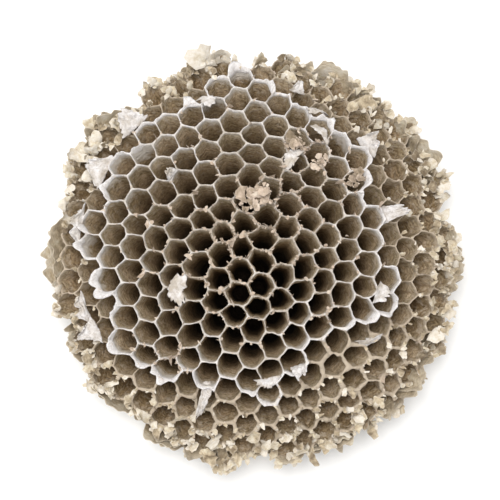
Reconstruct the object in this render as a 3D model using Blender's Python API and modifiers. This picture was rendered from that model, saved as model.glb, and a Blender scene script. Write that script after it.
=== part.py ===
"""Hornet nest: one round comb of paper cells with the torn rest of its envelope.

The comb lies on its flat back with the cell mouths up. Its cells fan out from the flat back to a
domed face, so a mouth is wider than its floor. The middle cells carry the white silk rims that the
grubs spun and stand a little higher than the margin. Metres, +Z up, origin at the middle of the
flat back.
"""

import math

import bmesh
import bpy
from mathutils import Matrix, Vector

MM = 0.001

# Driving dimensions of the comb.
CELL_PITCH = 9.0 * MM
LATTICE_TURN = math.radians(23.6)
FIRST_CELL = Vector((2.4 * MM, -15.0 * MM))
COMB_RADIUS = 83.2 * MM
BACK_RADIUS = 67.0 * MM
CROWN_HEIGHT = 44.0 * MM
DOME_RADIUS = 185.0 * MM
WALL = 0.5 * MM
FLOOR_HEIGHT = 2.5 * MM
FAN = 0.78
FLOOR_TAPER = 0.9

# The margin droops more than the dome, and it steps down outside the silk-rimmed middle.
DROOP_FROM = 55.0 * MM
DROOP_OVER = 25.0 * MM
DROOP = 5.0 * MM
SILK_STEP = 4.5 * MM
STEP_WIDTH = 7.0 * MM

# The cells crowd together towards one side of the comb and are a little wide across it.
STRETCH = 0.025
STRETCH_TURN = math.radians(-16)
CROWDING = 0.05
CROWDING_TOWARDS = math.radians(-49)
SPREAD = 0.014
GROWTH_RADIUS = 80.0 * MM

# Silk-rimmed middle: azimuth in degrees, radius in millimetres.
SILK_OUTLINE = (
    (0, 51), (20, 49), (38, 58), (60, 58), (78, 64), (96, 69), (114, 59), (135, 64), (156, 61),
    (180, 63), (188, 56), (200, 57), (217, 67), (240, 57), (262, 50), (275, 56), (290, 46),
    (304, 39), (318, 43), (330, 56), (340, 53),
)

GAP = 0.35 * MM

# Envelope patches: name, first and last azimuth in degrees, then millimetres of reach outside the
# comb, of crest above its rim and of lip inside it.
ENVELOPE_PATCHES = (
    ("left", 164, 196, 1.0, 3.0, 7),
    ("lower_left", 199, 233, 1.5, 3.5, 10),
    ("bottom", 236, 268, 1.5, 4.0, 11),
    ("bottom_right", 271, 301, 1.2, 4.0, 11),
    ("lower_right", 305, 335, 1.0, 3.6, 10),
    ("right", 339, 372, 1.5, 4.5, 12),
    ("upper_right", 15, 47, 1.5, 4.0, 11),
    ("top_right", 50, 82, 1.0, 3.5, 12),
    ("top", 85, 122, 1.0, 3.0, 9),
    ("upper_left", 125, 161, 1.5, 4.0, 9),
)
PATCH_FOOT = 0.6 * MM
PATCH_FOOT_WIDTH = 4.4 * MM
PATCH_STEPS = 5
PATCH_WAVES = 7
PATCH_WAVE = 0.4 * MM

# Silk flaps: place in millimetres, azimuth that the flap faces in degrees, lean away from upright in
# degrees, then width at the foot, width at the tip and height in millimetres.
SILK_FLAPS = (
    (-45.6, 48.4, 133, 55, 11, 5, 8),
    (-55.6, 30.0, 152, 60, 12, 4, 8),
    (-63.0, 9.0, 172, 25, 15, 9, 4),
    (-63.5, -22.0, 199, 30, 12, 7, 4),
    (-59.0, -30.0, 207, 62, 9, 3, 7),
    (-17.0, -52.0, 252, 70, 3.5, 2, 14),
    (15.5, -43.7, 290, 20, 5, 4, 6),
    (46.0, -17.0, 340, 15, 8, 5, 6),
    (49.0, 12.5, 14, 50, 6, 4, 9),
    (42.7, 38.5, 42, 35, 9, 5, 7),
    (16.9, 62.0, 75, 40, 5, 2, 5),
    (-30.0, 27.0, 138, 20, 5, 3, 4),
)

# Silk caps that still close a cell in part: place and radius in millimetres.
SILK_CAPS = (
    (-19.5, 56.2, 4.6),
    (5.0, -47.0, 4.4),
    (42.7, -30.4, 4.8),
    (25.8, 51.0, 4.6),
    (23.9, 42.6, 4.2),
    (16.9, 32.0, 4.4),
    (-25.4, -16.4, 5.0),
)

# Loose paper scraps: place, turn in degrees, length, width and height in millimetres.
PAPER_SCRAPS = (
    (0.7, 17.6, 20, 12, 7, 3),
    (15.8, 39.8, 100, 7, 5, 3),
    (24.7, 31.2, 60, 6, 4, 2.5),
    (38.6, 25.4, 30, 6, 4, 2.5),
)

SILK_THICKNESS = 0.5 * MM


def new_material(name, colour, roughness):
    material = bpy.data.materials.new(name)
    material.use_nodes = True
    shader = material.node_tree.nodes["Principled BSDF"]
    shader.inputs["Base Color"].default_value = (*colour, 1.0)
    shader.inputs["Roughness"].default_value = roughness
    shader.inputs["Metallic"].default_value = 0.0
    return material


def comb_paper():
    return new_material("comb paper", (0.16, 0.11, 0.065), 0.9)


def envelope_paper():
    return new_material("envelope paper", (0.55, 0.47, 0.37), 0.9)


def spun_silk():
    return new_material("spun silk", (0.72, 0.71, 0.70), 0.6)


def chewed_paper():
    return new_material("chewed paper", (0.45, 0.36, 0.25), 0.9)


def silk_radius(azimuth):
    """The silk outline at an azimuth in degrees, read along straight runs between its points."""
    azimuth %= 360
    ring = SILK_OUTLINE + ((360 + SILK_OUTLINE[0][0], SILK_OUTLINE[0][1]),)
    for (start, near), (end, far) in zip(ring, ring[1:]):
        if start <= azimuth <= end:
            return (near + (far - near) * (azimuth - start) / (end - start)) * MM
    raise ValueError("the silk outline leaves a gap")


def smooth_step(value):
    value = min(max(value, 0.0), 1.0)
    return value * value * (3 - 2 * value)


def rim_height(x, y):
    """Height of the cell rims above the flat back, at a place on the comb."""
    radius = min(math.hypot(x, y), COMB_RADIUS)
    dome = DOME_RADIUS - math.sqrt(DOME_RADIUS**2 - radius**2)
    droop = DROOP * max((radius - DROOP_FROM) / DROOP_OVER, 0.0) ** 1.5
    past_silk = radius - silk_radius(math.degrees(math.atan2(y, x)))
    step = SILK_STEP * smooth_step(past_silk / STEP_WIDTH + 0.5)
    return CROWN_HEIGHT - dome - droop - step


def rim_frame(x, y, reach, clear):
    """The turn that lays a piece along the rims, and a place where it clears them all round."""
    near = WALL
    slope_x = (rim_height(x + near, y) - rim_height(x - near, y)) / (2 * near)
    slope_y = (rim_height(x, y + near) - rim_height(x, y - near)) / (2 * near)
    outward = Vector((-slope_x, -slope_y, 1)).normalized()
    place = Vector((x, y, rim_height(x, y)))
    lift = 0.0
    for turn in (math.radians(45 * k) for k in range(8)):
        beside = (x + reach * math.cos(turn), y + reach * math.sin(turn))
        lift = max(lift, (Vector((*beside, rim_height(*beside))) - place).dot(outward))
    return place + (lift + clear) * outward, Vector((0, 0, 1)).rotation_difference(outward)


def grown_place(flat):
    """Where a point of the even cell lattice lies after the comb's uneven growth."""
    turn = Matrix.Rotation(STRETCH_TURN, 2)
    stretch = turn @ Matrix(((1 + STRETCH, 0), (0, 1 - STRETCH))) @ turn.transposed()
    place = stretch @ flat
    azimuth = math.atan2(place.y, place.x)
    crowding = CROWDING * math.cos(azimuth - CROWDING_TOWARDS) - SPREAD
    return place * (1 - crowding * (place.length / GROWTH_RADIUS) ** 2)


def cell_corners(centre):
    corner = CELL_PITCH / math.sqrt(3)
    turns = [LATTICE_TURN + math.radians(30 + 60 * k) for k in range(6)]
    return [centre + corner * Vector((math.cos(turn), math.sin(turn))) for turn in turns]


def cell_centres():
    """Centres of the even lattice's cells whose grown mouths lie inside the comb's outline."""
    step_u = CELL_PITCH * Vector((math.cos(LATTICE_TURN), math.sin(LATTICE_TURN)))
    turn_v = LATTICE_TURN + math.radians(60)
    step_v = CELL_PITCH * Vector((math.cos(turn_v), math.sin(turn_v)))
    reach = math.ceil(1.4 * COMB_RADIUS / CELL_PITCH)
    centres = []
    for i in range(-reach, reach + 1):
        for j in range(-reach, reach + 1):
            centre = FIRST_CELL + i * step_u + j * step_v
            if all(grown_place(corner).length < COMB_RADIUS for corner in cell_corners(centre)):
                centres.append(centre)
    return centres


def new_part(name, mesh, material, location=(0, 0, 0), rotation=(0, 0, 0)):
    part = bpy.data.objects.new(name, mesh)
    part.location = location
    part.rotation_euler = rotation
    mesh.materials.append(material)
    bpy.data.collections["hornet_nest"].objects.link(part)
    return part


def finished_mesh(name, bm):
    bmesh.ops.recalc_face_normals(bm, faces=bm.faces)
    mesh = bpy.data.meshes.new(name)
    bm.to_mesh(mesh)
    bm.free()
    return mesh


def make_comb(material):
    """Six-sided mouths welded into one sheet, each pushed down to its floor, on one flat back."""
    bm = bmesh.new()
    corner = CELL_PITCH / math.sqrt(3)
    turn = Matrix.Rotation(LATTICE_TURN + math.radians(30) - math.pi / 2, 4, "Z")
    for centre in cell_centres():
        place = Matrix.Translation(centre.to_3d()) @ turn
        bmesh.ops.create_circle(bm, cap_ends=True, radius=corner, segments=6, matrix=place)
    bmesh.ops.remove_doubles(bm, verts=bm.verts, dist=WALL / 5)
    bmesh.ops.recalc_face_normals(bm, faces=bm.faces)
    mouths = bm.faces[:]
    bmesh.ops.inset_individual(bm, faces=mouths, thickness=WALL / 2, use_even_offset=True)
    outline = [edge for edge in bm.edges if edge.is_boundary]
    for vert in bm.verts:
        place = grown_place(vert.co.to_2d())
        vert.co = (place.x, place.y, rim_height(place.x, place.y))
    floors = bmesh.ops.extrude_discrete_faces(bm, faces=mouths)["faces"]
    for floor in floors:
        middle = floor.calc_center_median()
        for vert in floor.verts:
            place = FAN * (middle + FLOOR_TAPER * (vert.co - middle))
            vert.co = (place.x, place.y, FLOOR_HEIGHT)
    skirt = bmesh.ops.extrude_edge_only(bm, edges=outline)["geom"]
    feet = {vert for vert in skirt if isinstance(vert, bmesh.types.BMVert)}
    for foot in feet:
        place = foot.co.to_2d().normalized() * BACK_RADIUS
        foot.co = (place.x, place.y, 0)
    bmesh.ops.edgeloop_fill(bm, edges=[edge for edge in bm.edges if feet.issuperset(edge.verts)])
    return new_part("comb", finished_mesh("comb", bm), material)


def make_envelope_patch(name, start, end, reach, crest, lip, material):
    """One torn patch: it stands round the flared side, hooks over the margin's rims and ripples."""
    rim = rim_height(COMB_RADIUS, 0)
    lip_radius = COMB_RADIUS - lip * MM
    lip_height = rim_height(lip_radius, 0) + GAP
    clear = 3 * GAP
    profile = (
        (COMB_RADIUS + 2 * clear, rim + clear),
        (lip_radius, lip_height + clear),
        (lip_radius, lip_height + crest * MM),
        (COMB_RADIUS + 2 * clear + reach * MM, rim + crest * MM),
        (COMB_RADIUS + 2 * clear + reach * MM, rim + clear),
        (BACK_RADIUS + clear + PATCH_FOOT_WIDTH, PATCH_FOOT),
        (BACK_RADIUS + clear, PATCH_FOOT),
    )
    bm = bmesh.new()
    section = bm.faces.new([bm.verts.new((radius, 0, height)) for radius, height in profile])
    sweep = math.radians(end - start)
    geometry = [section, *section.edges, *section.verts]
    bmesh.ops.spin(bm, geom=geometry, angle=sweep, steps=PATCH_STEPS, axis=(0, 0, 1))
    for vert in bm.verts:
        azimuth = math.atan2(vert.co.y, vert.co.x)
        wave = math.sin(PATCH_WAVES * azimuth + start)
        vert.co.z += PATCH_WAVE * (1 + wave) * vert.co.z / rim
        vert.co.xy *= 1 + PATCH_WAVE / COMB_RADIUS * (1 + wave)
    mesh = finished_mesh(name, bm)
    return new_part(name, mesh, material, rotation=(0, 0, math.radians(start)))


def make_silk_flap(name, x, y, facing, lean, foot, tip, height, material):
    """One torn flap: a plate that narrows from foot to tip and curls over in its upper half."""
    bm = bmesh.new()
    bmesh.ops.create_grid(bm, x_segments=1, y_segments=2, size=0.5)
    for vert in bm.verts:
        share = vert.co.y + 0.5
        width = foot + (tip - foot) * share
        vert.co = (vert.co.x * width * MM, -0.12 * height * MM * share**2, share * height * MM)
    mesh = finished_mesh(name, bm)
    place, _ = rim_frame(x * MM, y * MM, foot / 2 * MM, 2 * GAP + SILK_THICKNESS)
    rotation = Matrix.Rotation(math.radians(facing + 90), 3, "Z")
    rotation = rotation @ Matrix.Rotation(math.radians(lean), 3, "X")
    flap = new_part(name, mesh, material, place, rotation.to_euler())
    solid = flap.modifiers.new("thickness", "SOLIDIFY")
    solid.thickness = SILK_THICKNESS
    solid.offset = 0
    return flap


def make_silk_cap(name, x, y, radius, material):
    """One cap: a low six-sided frustum over its cell's mouth."""
    bm = bmesh.new()
    height = radius / 3 * MM
    bmesh.ops.create_cone(
        bm, cap_ends=True, segments=6, radius1=radius * MM, radius2=radius / 2 * MM, depth=height
    )
    mesh = finished_mesh(name, bm)
    place, lie = rim_frame(x * MM, y * MM, radius * MM, height / 2 + 2 * GAP)
    return new_part(name, mesh, material, place, lie.to_euler())


def make_paper_scrap(name, x, y, turn, length, width, height, material):
    """One crumpled scrap: a flattened low ball."""
    bm = bmesh.new()
    bmesh.ops.create_uvsphere(bm, u_segments=6, v_segments=3, radius=0.5)
    bmesh.ops.scale(bm, verts=bm.verts, vec=(length * MM, width * MM, height * MM))
    mesh = finished_mesh(name, bm)
    place, lie = rim_frame(x * MM, y * MM, length / 2 * MM, height / 2 * MM + 2 * GAP)
    turned = lie @ Matrix.Rotation(math.radians(turn), 3, "Z").to_quaternion()
    return new_part(name, mesh, material, place, turned.to_euler())


def main():
    for old in list(bpy.data.objects):
        bpy.data.objects.remove(old, do_unlink=True)
    collection = bpy.data.collections.new("hornet_nest")
    bpy.context.scene.collection.children.link(collection)
    make_comb(comb_paper())
    envelope, silk, paper = envelope_paper(), spun_silk(), chewed_paper()
    for name, *sizes in ENVELOPE_PATCHES:
        make_envelope_patch("envelope_" + name, *sizes, envelope)
    for number, sizes in enumerate(SILK_FLAPS, 1):
        make_silk_flap(f"silk_flap_{number}", *sizes, silk)
    for number, sizes in enumerate(SILK_CAPS, 1):
        make_silk_cap(f"silk_cap_{number}", *sizes, silk)
    for number, sizes in enumerate(PAPER_SCRAPS, 1):
        make_paper_scrap(f"paper_scrap_{number}", *sizes, paper)


main()
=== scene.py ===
import math
from itertools import product

import bmesh
import bpy
import numpy as np
from bpy.props import FloatProperty, FloatVectorProperty, IntProperty, PointerProperty
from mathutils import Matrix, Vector


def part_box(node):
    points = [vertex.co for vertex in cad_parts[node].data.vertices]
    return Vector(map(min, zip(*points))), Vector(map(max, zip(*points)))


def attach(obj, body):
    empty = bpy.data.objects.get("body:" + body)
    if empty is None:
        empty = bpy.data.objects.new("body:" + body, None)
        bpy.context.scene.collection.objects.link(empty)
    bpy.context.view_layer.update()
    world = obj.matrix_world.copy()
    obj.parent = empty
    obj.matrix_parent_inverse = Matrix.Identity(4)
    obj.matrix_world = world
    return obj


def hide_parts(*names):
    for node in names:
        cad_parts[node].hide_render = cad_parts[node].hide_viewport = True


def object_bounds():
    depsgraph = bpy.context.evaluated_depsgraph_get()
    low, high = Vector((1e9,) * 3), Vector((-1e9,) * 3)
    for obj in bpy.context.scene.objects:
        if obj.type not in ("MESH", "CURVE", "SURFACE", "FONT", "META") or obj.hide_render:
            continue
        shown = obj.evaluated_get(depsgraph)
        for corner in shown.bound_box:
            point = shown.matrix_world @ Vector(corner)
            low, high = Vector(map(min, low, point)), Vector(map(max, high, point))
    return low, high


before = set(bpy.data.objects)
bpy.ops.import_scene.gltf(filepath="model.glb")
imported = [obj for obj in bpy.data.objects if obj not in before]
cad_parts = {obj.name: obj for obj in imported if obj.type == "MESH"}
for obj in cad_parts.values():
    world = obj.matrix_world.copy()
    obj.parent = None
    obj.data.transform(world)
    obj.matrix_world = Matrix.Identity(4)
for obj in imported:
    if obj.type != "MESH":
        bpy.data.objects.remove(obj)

bl_info = {
    "name": "Hornet Nest",
    "version": (1, 0, 0),
    "blender": (4, 5, 0),
    "location": "3D View > Sidebar > Hornet Nest",
    "description": "Builds a hornet nest comb with silk rims, torn envelope and paper scraps",
    "category": "Object",
}

MM = 0.001
CAD_BOX = [list(corner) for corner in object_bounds()]
COMB_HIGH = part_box("comb")[1]

# The cell lattice, laid out as the comb's own: neighbours at CELL_PITCH, turned by LATTICE_TURN.
CELL_PITCH = 9.0 * MM
LATTICE_TURN = math.radians(23.6)
FIRST_CELL = np.array([2.4, -15.0]) * MM
COMB_RADIUS = 83.2 * MM
BACK_RADIUS = 67.0 * MM
DOME_RADIUS = 185.0 * MM
FAN = 0.78
FLOOR_HEIGHT = 2.5 * MM
FLOOR_TAPER = 0.9
DROOP_FROM, DROOP_OVER, DROOP = 55.0 * MM, 25.0 * MM, 5.0 * MM
SILK_STEP = 4.5 * MM
STRETCH, STRETCH_TURN = 0.025, math.radians(-16)
CROWDING, CROWDING_TOWARDS, SPREAD = 0.05, math.radians(-49), 0.014
GROWTH_RADIUS = 80.0 * MM

# Silk-rimmed middle: azimuth in degrees, radius in millimetres.
SILK_OUTLINE = (
    (0, 51), (10, 50), (24, 48), (38, 58), (60, 58), (70, 61), (78, 64), (86, 67), (96, 69),
    (106, 65), (115, 59), (131, 63), (148, 62), (163, 63), (180, 63), (188, 57), (200, 56),
    (213, 66), (221, 66), (240, 56), (262, 50), (275, 56), (288, 48), (304, 39), (318, 42),
    (330, 56), (340, 53),
)

# Torn places in the comb: place and radius in millimetres, then how far the walls are torn down.
TORN_PLACES = (
    (1, 18, 10, 2.4), (8, 22, 8, 1.8), (14, 16, 8, 1.6), (-9, 2, 10, 1.3), (4, 4, 10, 1.2),
    (-21, -13, 8, 1.0), (24, 40, 9, 1.4), (16, 38, 8, 1.6), (28, -26, 9, 1.6), (-30, -42, 9, 2.0),
    (38, 25, 7, 0.9), (-40, -40, 7, 1.4), (14, 30, 6, 0.8),
)

# Azimuth in degrees of the margin's most torn side.
TORN_SIDE = 275

# The rims are worn within about this radius.
WORN_RADIUS = 38 * MM

# Depths in millimetres of the comb's first rings below a rim, then the shares of the rest of the way
# down at which the others lie.
EDGE_DEPTH, LIP_DEPTH, THROAT_DEPTH = 0.1, 0.7, 2.2
WALL_SHARES = (0.10, 0.26, 0.52, 1.0)

# The comb's outside: shares of the way from the rim to the back, then of the back's radius, and the
# depth in millimetres whose colour it takes.
SIDE_SHARES = (0.12, 0.26, 0.42, 0.58, 0.74, 0.88)
BACK_SHARES = (0.96, 0.8, 0.55, 0.3)
SIDE_DEPTH = 4.0

# Paper looks creased where it bends by more than this.
CREASE = math.radians(32)

# An envelope patch: the half of its span in degrees, the layers of its paper, and the radii from
# which its lips and its scraps stand.
PATCH_HALF_SPAN = 18
ENVELOPE_LAYERS = 4
LIPS_FROM, SCRAPS_FROM = 45 * MM, 68 * MM

# Sheets in a clump of chewed paper, how many of them are large, and the crumbs on all the rims.
CLUMP_SHEETS, LARGE_SHEETS = 48, 9
CRUMBS = 1500

# First seeds of the random numbers: each piece of a kind adds its own place in the row.
TONE_SEED, FILM_SEED = 3, 8
ENVELOPE_SEED, FLAP_SEED, CAP_SEED, CLUMP_SEED, CRUMB_SEED = 100, 300, 400, 500, 600

# For each envelope patch, how many small torn lips stand on its cells and how many larger scraps.
SCRAP_COUNTS = {
    "envelope_left": (26, 16), "envelope_lower_left": (70, 40), "envelope_bottom": (110, 70),
    "envelope_bottom_right": (95, 60), "envelope_lower_right": (70, 45), "envelope_right": (75, 60),
    "envelope_upper_right": (70, 55), "envelope_top_right": (65, 50), "envelope_top": (50, 35),
    "envelope_upper_left": (70, 50),
}


def lattice_noise(points, size, seed):
    """Value noise from -1 to 1: the sum over a cube's eight corners of a random value per corner,
    which depends only on the corner's whole-number place and the seed, times the product over the
    three axes of a smooth step from that corner."""
    scaled = np.asarray(points, float) / size
    base = np.floor(scaled)
    share = scaled - base
    share = share * share * (3 - 2 * share)
    base = base.astype(np.int64)
    total = np.zeros(scaled.shape[:-1])
    for corner in product((0, 1), repeat=3):
        place = base + np.array(corner)
        mixed = place[..., 0] * 73856093 ^ place[..., 1] * 19349663 ^ place[..., 2] * 83492791
        mixed = (mixed + seed * 2654435761) & 0xFFFFFFFF
        mixed = ((mixed ^ (mixed >> 15)) * 2246822519) & 0xFFFFFFFF
        mixed = ((mixed ^ (mixed >> 13)) * 3266489917) & 0xFFFFFFFF
        value = (mixed ^ (mixed >> 16)) / 0x7FFFFFFF - 1
        total += value * np.prod(np.where(corner, share, 1 - share), axis=-1)
    return total


def smooth_step(value):
    """Three times the square less twice the cube, of the value kept between 0 and 1."""
    value = np.clip(value, 0, 1)
    return value * value * (3 - 2 * value)


def unit(vectors):
    """Each vector over its length."""
    return vectors / np.maximum(np.linalg.norm(vectors, axis=-1, keepdims=True), 1e-12)


def flat3(xy, z=0.0):
    """Points of the plane with a height."""
    return np.concatenate([xy, np.broadcast_to(z, xy.shape[:-1])[..., None]], axis=-1)


def silk_radius(azimuth):
    """The silk outline's radius, read along straight runs between its points all the way round."""
    turns, radii = np.array(SILK_OUTLINE, float).T
    degrees = np.degrees(azimuth) % 360
    return np.interp(degrees, turns, radii, period=360) * MM


def plateau_height(xy, silky):
    """Height of the rims: the crown, less the dome's fall (sphere radius less the root of its square
    less the square of the distance), less the margin's droop, less the step where there is no silk."""
    radius = np.minimum(np.hypot(xy[..., 0], xy[..., 1]), COMB_RADIUS)
    dome = DOME_RADIUS - np.sqrt(DOME_RADIUS**2 - radius**2)
    droop = DROOP * np.maximum((radius - DROOP_FROM) / DROOP_OVER, 0) ** 1.5
    return COMB_HIGH[2] - dome - droop - SILK_STEP * (1 - silky)


def is_silky(xy):
    """1 inside the silk outline, else 0."""
    azimuth = np.arctan2(xy[..., 1], xy[..., 0])
    return (np.hypot(xy[..., 0], xy[..., 1]) < silk_radius(azimuth)).astype(float)


def grown_place(flat):
    """A lattice point after growth: stretched along one azimuth and squeezed across it, then drawn in
    by a share that grows with the square of the radius and is largest towards the crowded side."""
    cos, sin = math.cos(STRETCH_TURN), math.sin(STRETCH_TURN)
    turn = np.array([[cos, -sin], [sin, cos]])
    place = flat @ (turn @ np.diag([1 + STRETCH, 1 - STRETCH]) @ turn.T).T
    azimuth = np.arctan2(place[..., 1], place[..., 0])
    crowding = CROWDING * np.cos(azimuth - CROWDING_TOWARDS) - SPREAD
    radius = np.linalg.norm(place, axis=-1)
    return place * (1 - crowding * (radius / GROWTH_RADIUS) ** 2)[..., None]


def lattice_place(steps):
    """Even-lattice place of a number of steps along the two lattice directions, 60 degrees apart."""
    turns = LATTICE_TURN + np.array([0, math.radians(60)])
    directions = CELL_PITCH * np.stack([np.cos(turns), np.sin(turns)], axis=1)
    return FIRST_CELL + steps @ directions


class Lattice:
    """The comb's cells: for each its six corners, shared with its neighbours, and its rim samples."""

    NEIGHBOURS = np.array([(1, 0), (0, 1), (-1, 1), (-1, 0), (0, -1), (1, -1)])

    def __init__(self, per_side):
        """Keep the cells whose six grown corners lie inside the comb's radius."""
        reach = math.ceil(1.4 * COMB_RADIUS / CELL_PITCH)
        steps = np.stack(np.meshgrid(*[np.arange(-reach, reach + 1)] * 2, indexing="ij"), -1)
        steps = steps.reshape(-1, 2)
        thirds = self.NEIGHBOURS + np.roll(self.NEIGHBOURS, -1, axis=0)
        keys = 3 * steps[:, None, :] + thirds
        inside = np.linalg.norm(grown_place(lattice_place(keys / 3)), axis=-1) < COMB_RADIUS
        steps, keys = steps[inside.all(axis=1)], keys[inside.all(axis=1)]
        self.cells = len(steps)
        self.per_side = per_side
        self.around = 6 * per_side
        self.centre = grown_place(lattice_place(steps.astype(float)))
        self.silky = is_silky(self.centre)
        corners, index = np.unique(keys.reshape(-1, 2), axis=0, return_inverse=True)
        self.corner = index.reshape(-1, 6)
        self.corner_place = self.wobbled(grown_place(lattice_place(corners / 3)))
        self.index_rims()

    def wobbled(self, xy):
        """Corners moved by a slow and a quick noise, more where the comb is torn."""
        torn = tearing(xy)
        shift = np.zeros_like(xy)
        for axis in (0, 1):
            slow = lattice_noise(flat3(xy), 16 * MM, 11 + axis)
            quick = lattice_noise(flat3(xy), 4 * MM, 21 + axis)
            shift[..., axis] = (0.9 * slow + (0.65 + 0.6 * torn) * quick) * MM
        return xy + shift

    def index_rims(self):
        """Number every rim sample once: the corners first, then the samples between two corners in
        the order from the lower-numbered corner, so that both cells beside a wall share them."""
        count = len(self.corner_place)
        start, end = self.corner, np.roll(self.corner, -1, axis=1)
        ends = np.stack([np.minimum(start, end), np.maximum(start, end)], axis=-1)
        sides, side = np.unique(ends.reshape(-1, 2), axis=0, return_inverse=True)
        side = side.reshape(-1, 6)
        between = self.per_side - 1
        order = np.arange(between)
        order = np.where((start < end)[..., None], order, between - 1 - order)
        inner = count + side[..., None] * between + order
        self.rim = np.concatenate([start[..., None], inner], axis=-1).reshape(self.cells, -1)
        share = (np.arange(between) + 1) / self.per_side
        a, b = self.corner_place[sides[:, 0]], self.corner_place[sides[:, 1]]
        middle = a[:, None] + (b - a)[:, None] * share[:, None]
        self.place = np.concatenate([self.corner_place, middle.reshape(-1, 2)])
        uses = np.bincount(side.ravel(), minlength=len(sides))
        self.open_side = uses[side] == 1
        silk_uses = np.bincount(side.ravel(), np.repeat(self.silky, 6), minlength=len(sides))
        self.border_side = (silk_uses[side] == 1) & (self.silky[:, None] == 1)
        high = np.zeros(len(self.place))
        np.maximum.at(high, self.rim.ravel(), np.repeat(self.silky, self.around))
        self.rim_silky = high


def tearing(xy):
    """How torn a place is: the sum over the torn places of a smooth step from rim to middle."""
    torn = np.zeros(xy.shape[:-1])
    for x, y, radius, depth in TORN_PLACES:
        away = np.hypot(xy[..., 0] - x * MM, xy[..., 1] - y * MM)
        torn += depth * smooth_step(1 - away / (radius * MM))
    return torn


def rim_points(lattice):
    """The rims in space: the plateau's height plus a small noise in the silk and a large one outside
    it and where the comb is torn or worn, with notches where the noise runs high."""
    xy = lattice.place
    silky = lattice.rim_silky
    torn = tearing(xy) + 0.8 * worn(xy)
    fine = lattice_noise(flat3(xy), 1.9 * MM, 5)
    broad = lattice_noise(flat3(xy), 7 * MM, 6)
    rough = 0.28 * silky + (1 - silky) * 1.0
    notch = np.maximum(lattice_noise(flat3(xy), 3.1 * MM, 7) - 0.35, 0) * 3.6
    height = plateau_height(xy, silky) + (rough + 0.5 * torn) * fine * MM
    height += (0.25 * silky + 0.9 * (1 - silky)) * broad * MM
    height -= (1 - silky + 0.7 * torn) * notch * MM + 0.45 * torn * MM
    shift = np.stack([lattice_noise(flat3(xy), 1.8 * MM, 31 + k) for k in (0, 1)], axis=-1)
    return flat3(xy + shift * (0.28 + 0.14 * (1 - silky) + 0.12 * torn)[:, None] * MM, height)


def cell_frames(lattice, rims):
    """For each cell its mouth's middle, its floor's middle and its axis up out of the floor."""
    mouth = rims[lattice.rim].mean(axis=1)
    floor = flat3(FAN * lattice.centre, FLOOR_HEIGHT)
    return mouth, floor, unit(mouth - floor)


def add_mesh(name, points, faces, material, attributes=None, crease=None):
    """A mesh object at the origin from whole arrays of corners and of faces with four or three
    corners, with its point attributes and its normals facing out, and sharp where it bends by more
    than the crease angle."""
    mesh = bpy.data.meshes.new(name)
    mesh.from_pydata(points, [], [face for block in faces for face in block.tolist()])
    for key, values in (attributes or {}).items():
        layer = mesh.attributes.new(key, "FLOAT", "POINT")
        layer.data.foreach_set("value", np.asarray(values, np.float32))
    bm = bmesh.new()
    bm.from_mesh(mesh)
    bmesh.ops.recalc_face_normals(bm, faces=bm.faces)
    bm.to_mesh(mesh)
    bm.free()
    mesh.shade_smooth()
    if crease:
        mesh.set_sharp_from_angle(angle=crease)
    mesh.materials.append(material)
    mesh.validate()
    piece = bpy.data.objects.new(name, mesh)
    bpy.context.scene.collection.objects.link(piece)
    return piece


def ring_faces(rings):
    """Quads between neighbouring rings, closed all the way round: rings is an array of point numbers
    with the ring along the axis before last and the place round it along the last."""
    here, there = rings[..., :-1, :], rings[..., 1:, :]
    quads = np.stack(
        [here, np.roll(here, -1, axis=-1), np.roll(there, -1, axis=-1), there], axis=-1
    )
    return quads.reshape(-1, 4)


def worn(places):
    """1 in the middle of the comb, where the rims are worn, fading out to 0 by a smooth step."""
    return smooth_step(1.25 - np.hypot(places[..., 0], places[..., 1]) / WORN_RADIUS)


def corner_fillet(lattice):
    """How much silk and paper round a cell's corners: the cube of the distance from a side's middle."""
    along_side = np.tile(np.arange(lattice.per_side), 6) / lattice.per_side
    return np.abs(1 - 2 * along_side) ** 3 * 0.26 * MM


def torn_margin(places):
    """1 in the margin without silk on the side where the rims are torn most, fading out to 0."""
    azimuth = np.arctan2(places[..., 1], places[..., 0])
    away = np.abs((np.degrees(azimuth) - TORN_SIDE + 180) % 360 - 180)
    radius = np.hypot(places[..., 0], places[..., 1])
    return smooth_step(2.2 - away / 35) * smooth_step((radius - silk_radius(azimuth)) / (6 * MM))


def cell_tones(mouth):
    """How dark each cell is: a random part, and a part that grows by a smooth step in the margin."""
    chance = np.random.default_rng(TONE_SEED).uniform(0, 1, len(mouth))
    radius = np.hypot(mouth[:, 0], mouth[:, 1])
    return 0.8 * chance + 0.8 * smooth_step((radius / COMB_RADIUS - 0.62) / 0.25)


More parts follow.
